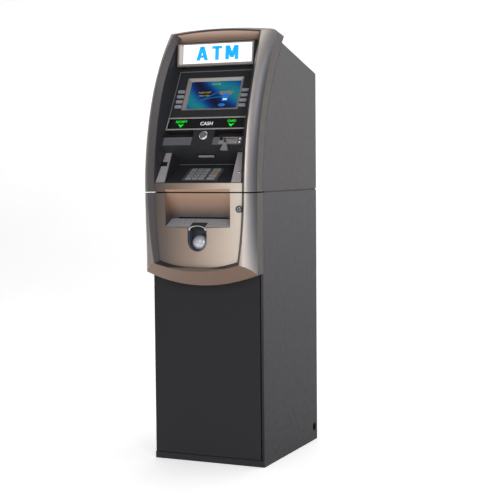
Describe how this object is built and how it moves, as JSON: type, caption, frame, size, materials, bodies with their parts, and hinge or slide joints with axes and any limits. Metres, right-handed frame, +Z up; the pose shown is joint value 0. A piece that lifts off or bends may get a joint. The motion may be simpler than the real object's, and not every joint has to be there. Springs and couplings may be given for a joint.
{
  "type": "atm machine",
  "caption": "Slim free-standing cash machine: steel vault with inset door, sheet-metal housing, bowed two-part fascia with screen, keypad, card slot, receipt slot and cash scoop.",
  "frame": {"origin": "on the floor under the middle of the machine's bounding box", "axes": "+Z up, -Y towards the customer, +X to the customer's right"},
  "size_m": [0.4, 0.566, 1.44],
  "materials": {
    "plinth_black": "satin",
    "cabinet_grey": "fine textured powder coat",
    "grommet_rubber": "matte",
    "housing_grey": "fine textured powder coat",
    "zinc_steel": "bright zinc",
    "chassis_steel": "plain sheet",
    "cassette_plastic": "moulded",
    "roller_rubber": "matte",
    "electronics_metal": "plain",
    "door_grey": "fine textured powder coat",
    "dial_black": "satin",
    "handle_chrome": "polished",
    "champagne_frame": "satin metallic lacquer",
    "champagne_panel": "satin metallic lacquer",
    "scoop_brown": "satin",
    "tray_silver": "satin metallic lacquer",
    "cup_dark": "satin",
    "lock_chrome": "polished",
    "console_charcoal": "fine texture",
    "bezel_grey": "satin",
    "screen_blue": "lit screen under glass",
    "band_black": "gloss",
    "sign_black": "satin",
    "sign_white": "translucent",
    "reader_silver": "satin",
    "printer_grey": "moulded",
    "paper_white": "plain paper",
    "keypad_steel": "satin",
    "key_grey": "satin",
    "key_enter_green": "satin",
    "key_cancel_red": "satin",
    "key_clear_yellow": "satin",
    "function_key_grey": "satin"
  },
  "bodies": {
    "cabinet": {"base_plinth": "plinth_black", "vault_shell": "cabinet_grey", "cable_grommet": "grommet_rubber", "upper_housing": "housing_grey", "rear_service_panel": "housing_grey", "rear_panel_screws": "zinc_steel", "cabinet_fittings": "zinc_steel", "dispenser_frame": "chassis_steel", "cash_cassette": "cassette_plastic", "electronics_box": "electronics_metal", "power_supply": "electronics_metal"},
    "pick_roller": {"pick_roller": "roller_rubber"},
    "vault_door": {"vault_door_panel": "door_grey", "combination_lock": "chassis_steel"},
    "lock_dial": {"lock_dial": "dial_black"},
    "vault_handle": {"vault_handle": "handle_chrome"},
    "bolt_bar": {"bolt_bar": "zinc_steel"},
    "lower_fascia": {"lower_fascia_frame": "champagne_frame", "lower_face_panel": "champagne_panel", "cash_scoop": "scoop_brown", "cash_tray": "tray_silver", "finger_cup": "cup_dark"},
    "lower_fascia_lock": {"lower_fascia_lock": "lock_chrome"},
    "upper_fascia": {"upper_fascia_frame": "champagne_frame", "chin_panel": "champagne_panel", "console_shell": "console_charcoal", "display_bezel": "bezel_grey", "display_module": "screen_blue", "indicator_band": "band_black", "sign_frame": "sign_black", "sign_lens": "sign_white", "card_reader": "reader_silver", "receipt_printer": "printer_grey", "keypad_plate": "keypad_steel"},
    "console_lock": {"console_lock": "lock_chrome"},
    "paper_roll": {"paper_roll": "paper_white"},
    "keypad_key_1_1": {"keypad_key_1_1": "key_grey"},
    "keypad_key_1_2": {"keypad_key_1_2": "key_grey"},
    "keypad_key_1_3": {"keypad_key_1_3": "key_grey"},
    "keypad_key_1_4": {"keypad_key_1_4": "key_enter_green"},
    "keypad_key_2_1": {"keypad_key_2_1": "key_grey"},
    "keypad_key_2_2": {"keypad_key_2_2": "key_grey"},
    "keypad_key_2_3": {"keypad_key_2_3": "key_grey"},
    "keypad_key_2_4": {"keypad_key_2_4": "key_cancel_red"},
    "keypad_key_3_1": {"keypad_key_3_1": "key_grey"},
    "keypad_key_3_2": {"keypad_key_3_2": "key_grey"},
    "keypad_key_3_3": {"keypad_key_3_3": "key_grey"},
    "keypad_key_3_4": {"keypad_key_3_4": "key_clear_yellow"},
    "keypad_key_4_1": {"keypad_key_4_1": "key_grey"},
    "keypad_key_4_2": {"keypad_key_4_2": "key_grey"},
    "keypad_key_4_3": {"keypad_key_4_3": "key_grey"},
    "keypad_key_4_4": {"keypad_key_4_4": "key_grey"},
    "function_key_left_1": {"function_key_left_1": "function_key_grey"},
    "function_key_left_2": {"function_key_left_2": "function_key_grey"},
    "function_key_left_3": {"function_key_left_3": "function_key_grey"},
    "function_key_left_4": {"function_key_left_4": "function_key_grey"},
    "function_key_right_1": {"function_key_right_1": "function_key_grey"},
    "function_key_right_2": {"function_key_right_2": "function_key_grey"},
    "function_key_right_3": {"function_key_right_3": "function_key_grey"},
    "function_key_right_4": {"function_key_right_4": "function_key_grey"}
  },
  "joints": [
    {"name": "roller_spin", "type": "hinge", "parent": "cabinet", "child": "pick_roller", "pos_m": [0, -0.048, 0.72], "axis": [1, 0, 0], "continuous": true},
    {"name": "door_hinge", "type": "hinge", "parent": "cabinet", "child": "vault_door", "pos_m": [-0.194, -0.193, 0.45], "axis": [0, 0, -1], "range_deg": [0, 90]},
    {"name": "dial_turn", "type": "hinge", "parent": "vault_door", "child": "lock_dial", "pos_m": [0.095, -0.21, 0.69], "axis": [0, -1, 0], "continuous": true},
    {"name": "handle_turn", "type": "hinge", "parent": "vault_door", "child": "vault_handle", "pos_m": [0, -0.21, 0.69], "axis": [0, -1, 0], "range_deg": [0, 90]},
    {"name": "bolt_slide", "type": "slide", "parent": "vault_door", "child": "bolt_bar", "axis": [1, 0, 0], "range_m": [0, 0.0198]},
    {"name": "lower_fascia_hinge", "type": "hinge", "parent": "vault_door", "child": "lower_fascia", "pos_m": [-0.192, -0.216, 0.75], "axis": [0, 0, -1], "range_deg": [0, 90]},
    {"name": "lower_lock_turn", "type": "hinge", "parent": "lower_fascia", "child": "lower_fascia_lock", "pos_m": [0.147, -0.25, 0.845], "axis": [0, 1, 0], "range_deg": [0, 90]},
    {"name": "upper_fascia_hinge", "type": "hinge", "parent": "cabinet", "child": "upper_fascia", "pos_m": [-0.192, -0.198, 0.96], "axis": [0, 0, -1], "range_deg": [0, 90]},
    {"name": "console_lock_turn", "type": "hinge", "parent": "upper_fascia", "child": "console_lock", "pos_m": [0.003, -0.21841, 1.08008], "axis": [0, -0.8813, 0.4726], "range_deg": [0, 90]},
    {"name": "paper_roll_spin", "type": "hinge", "parent": "upper_fascia", "child": "paper_roll", "pos_m": [0, -0.11942, 1.09963], "axis": [1, 0, 0], "continuous": true},
    {"name": "keypad_press_1_1", "type": "slide", "parent": "upper_fascia", "child": "keypad_key_1_1", "axis": [0, 0.4899, -0.8718], "range_m": [0, 0.002], "stiffness_N_per_m": 400},
    {"name": "keypad_press_1_2", "type": "slide", "parent": "upper_fascia", "child": "keypad_key_1_2", "axis": [0, 0.4899, -0.8718], "range_m": [0, 0.002], "stiffness_N_per_m": 400},
    {"name": "keypad_press_1_3", "type": "slide", "parent": "upper_fascia", "child": "keypad_key_1_3", "axis": [0, 0.4899, -0.8718], "range_m": [0, 0.002], "stiffness_N_per_m": 400},
    {"name": "keypad_press_1_4", "type": "slide", "parent": "upper_fascia", "child": "keypad_key_1_4", "axis": [0, 0.4899, -0.8718], "range_m": [0, 0.002], "stiffness_N_per_m": 400},
    {"name": "keypad_press_2_1", "type": "slide", "parent": "upper_fascia", "child": "keypad_key_2_1", "axis": [0, 0.4899, -0.8718], "range_m": [0, 0.002], "stiffness_N_per_m": 400},
    {"name": "keypad_press_2_2", "type": "slide", "parent": "upper_fascia", "child": "keypad_key_2_2", "axis": [0, 0.4899, -0.8718], "range_m": [0, 0.002], "stiffness_N_per_m": 400},
    {"name": "keypad_press_2_3", "type": "slide", "parent": "upper_fascia", "child": "keypad_key_2_3", "axis": [0, 0.4899, -0.8718], "range_m": [0, 0.002], "stiffness_N_per_m": 400},
    {"name": "keypad_press_2_4", "type": "slide", "parent": "upper_fascia", "child": "keypad_key_2_4", "axis": [0, 0.4899, -0.8718], "range_m": [0, 0.002], "stiffness_N_per_m": 400},
    {"name": "keypad_press_3_1", "type": "slide", "parent": "upper_fascia", "child": "keypad_key_3_1", "axis": [0, 0.4899, -0.8718], "range_m": [0, 0.002], "stiffness_N_per_m": 400},
    {"name": "keypad_press_3_2", "type": "slide", "parent": "upper_fascia", "child": "keypad_key_3_2", "axis": [0, 0.4899, -0.8718], "range_m": [0, 0.002], "stiffness_N_per_m": 400},
    {"name": "keypad_press_3_3", "type": "slide", "parent": "upper_fascia", "child": "keypad_key_3_3", "axis": [0, 0.4899, -0.8718], "range_m": [0, 0.002], "stiffness_N_per_m": 400},
    {"name": "keypad_press_3_4", "type": "slide", "parent": "upper_fascia", "child": "keypad_key_3_4", "axis": [0, 0.4899, -0.8718], "range_m": [0, 0.002], "stiffness_N_per_m": 400},
    {"name": "keypad_press_4_1", "type": "slide", "parent": "upper_fascia", "child": "keypad_key_4_1", "axis": [0, 0.4899, -0.8718], "range_m": [0, 0.002], "stiffness_N_per_m": 400},
    {"name": "keypad_press_4_2", "type": "slide", "parent": "upper_fascia", "child": "keypad_key_4_2", "axis": [0, 0.4899, -0.8718], "range_m": [0, 0.002], "stiffness_N_per_m": 400},
    {"name": "keypad_press_4_3", "type": "slide", "parent": "upper_fascia", "child": "keypad_key_4_3", "axis": [0, 0.4899, -0.8718], "range_m": [0, 0.002], "stiffness_N_per_m": 400},
    {"name": "keypad_press_4_4", "type": "slide", "parent": "upper_fascia", "child": "keypad_key_4_4", "axis": [0, 0.4899, -0.8718], "range_m": [0, 0.002], "stiffness_N_per_m": 400},
    {"name": "function_press_left_1", "type": "slide", "parent": "upper_fascia", "child": "function_key_left_1", "axis": [0, 0.8813, -0.4726], "range_m": [0, 0.0012], "stiffness_N_per_m": 400},
    {"name": "function_press_left_2", "type": "slide", "parent": "upper_fascia", "child": "function_key_left_2", "axis": [0, 0.8813, -0.4726], "range_m": [0, 0.0012], "stiffness_N_per_m": 400},
    {"name": "function_press_left_3", "type": "slide", "parent": "upper_fascia", "child": "function_key_left_3", "axis": [0, 0.8813, -0.4726], "range_m": [0, 0.0012], "stiffness_N_per_m": 400},
    {"name": "function_press_left_4", "type": "slide", "parent": "upper_fascia", "child": "function_key_left_4", "axis": [0, 0.8813, -0.4726], "range_m": [0, 0.0012], "stiffness_N_per_m": 400},
    {"name": "function_press_right_1", "type": "slide", "parent": "upper_fascia", "child": "function_key_right_1", "axis": [0, 0.8813, -0.4726], "range_m": [0, 0.0012], "stiffness_N_per_m": 400},
    {"name": "function_press_right_2", "type": "slide", "parent": "upper_fascia", "child": "function_key_right_2", "axis": [0, 0.8813, -0.4726], "range_m": [0, 0.0012], "stiffness_N_per_m": 400},
    {"name": "function_press_right_3", "type": "slide", "parent": "upper_fascia", "child": "function_key_right_3", "axis": [0, 0.8813, -0.4726], "range_m": [0, 0.0012], "stiffness_N_per_m": 400},
    {"name": "function_press_right_4", "type": "slide", "parent": "upper_fascia", "child": "function_key_right_4", "axis": [0, 0.8813, -0.4726], "range_m": [0, 0.0012], "stiffness_N_per_m": 400}
  ],
  "couplings": [
    {"joint": "bolt_slide", "follows": "handle_turn", "m_per_rad": 0.0126}
  ]
}
